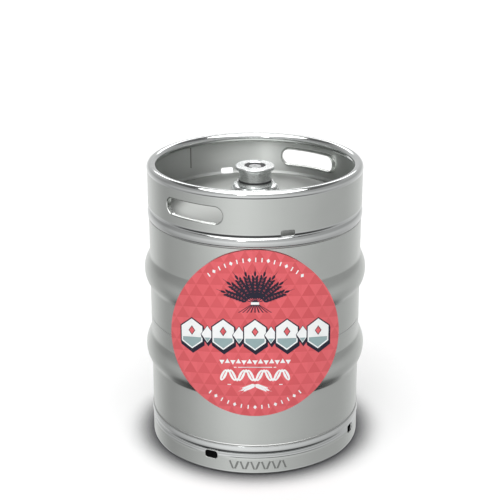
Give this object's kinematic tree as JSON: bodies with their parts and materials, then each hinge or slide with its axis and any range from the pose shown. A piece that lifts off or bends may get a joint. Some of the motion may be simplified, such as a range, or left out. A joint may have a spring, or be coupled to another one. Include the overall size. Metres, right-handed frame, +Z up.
{
  "type": "beer keg",
  "caption": "Upright stainless-steel beer keg with rolled chimes, handle slots, rolling hoops and a spring-loaded spear valve, for storing and dispensing draught beer.",
  "frame": {"origin": "centre of the foot ring, on the floor plane", "axes": "+Z up along the keg's axis; -Y is the front, where the printed label is; +X is the right side seen from the front"},
  "size_m": [0.408, 0.4087, 0.532],
  "materials": {
    "satin_steel": "satin, glass-bead blasted and lightly brushed",
    "polished_steel": "bright polished",
    "weld_steel": "pickled weld",
    "black_rubber": "matte",
    "printed_label": "printed vinyl sheet, satin"
  },
  "bodies": {
    "keg": {"upper_shell": "satin_steel", "lower_shell": "satin_steel", "girth_weld": "weld_steel", "top_chime": "satin_steel", "top_chime_seam": "weld_steel", "top_chime_weld": "weld_steel", "bottom_chime": "satin_steel", "bottom_chime_seam": "weld_steel", "bottom_chime_weld": "weld_steel", "neck_boss": "polished_steel", "neck_weld": "weld_steel", "lock_ring": "polished_steel", "neck_seal": "black_rubber", "spear_housing": "polished_steel", "valve_cage": "satin_steel", "cage_ring": "polished_steel", "gas_spring": "polished_steel", "label": "printed_label"},
    "gas_valve": {"gas_seal": "black_rubber", "tube_head": "satin_steel", "down_tube": "satin_steel", "spring_plate": "satin_steel", "beer_spring": "polished_steel"},
    "beer_valve": {"beer_valve": "polished_steel"}
  },
  "joints": [
    {"name": "gas_valve_slide", "type": "slide", "parent": "keg", "child": "gas_valve", "axis": [0, 0, -1], "range_m": [0, 0.009], "stiffness_N_per_m": 6000, "springref_m": -0.01, "deforming": ["gas_spring"]},
    {"name": "beer_valve_slide", "type": "slide", "parent": "gas_valve", "child": "beer_valve", "axis": [0, 0, -1], "range_m": [0, 0.006], "stiffness_N_per_m": 1500, "springref_m": -0.008, "deforming": ["beer_spring"]}
  ]
}
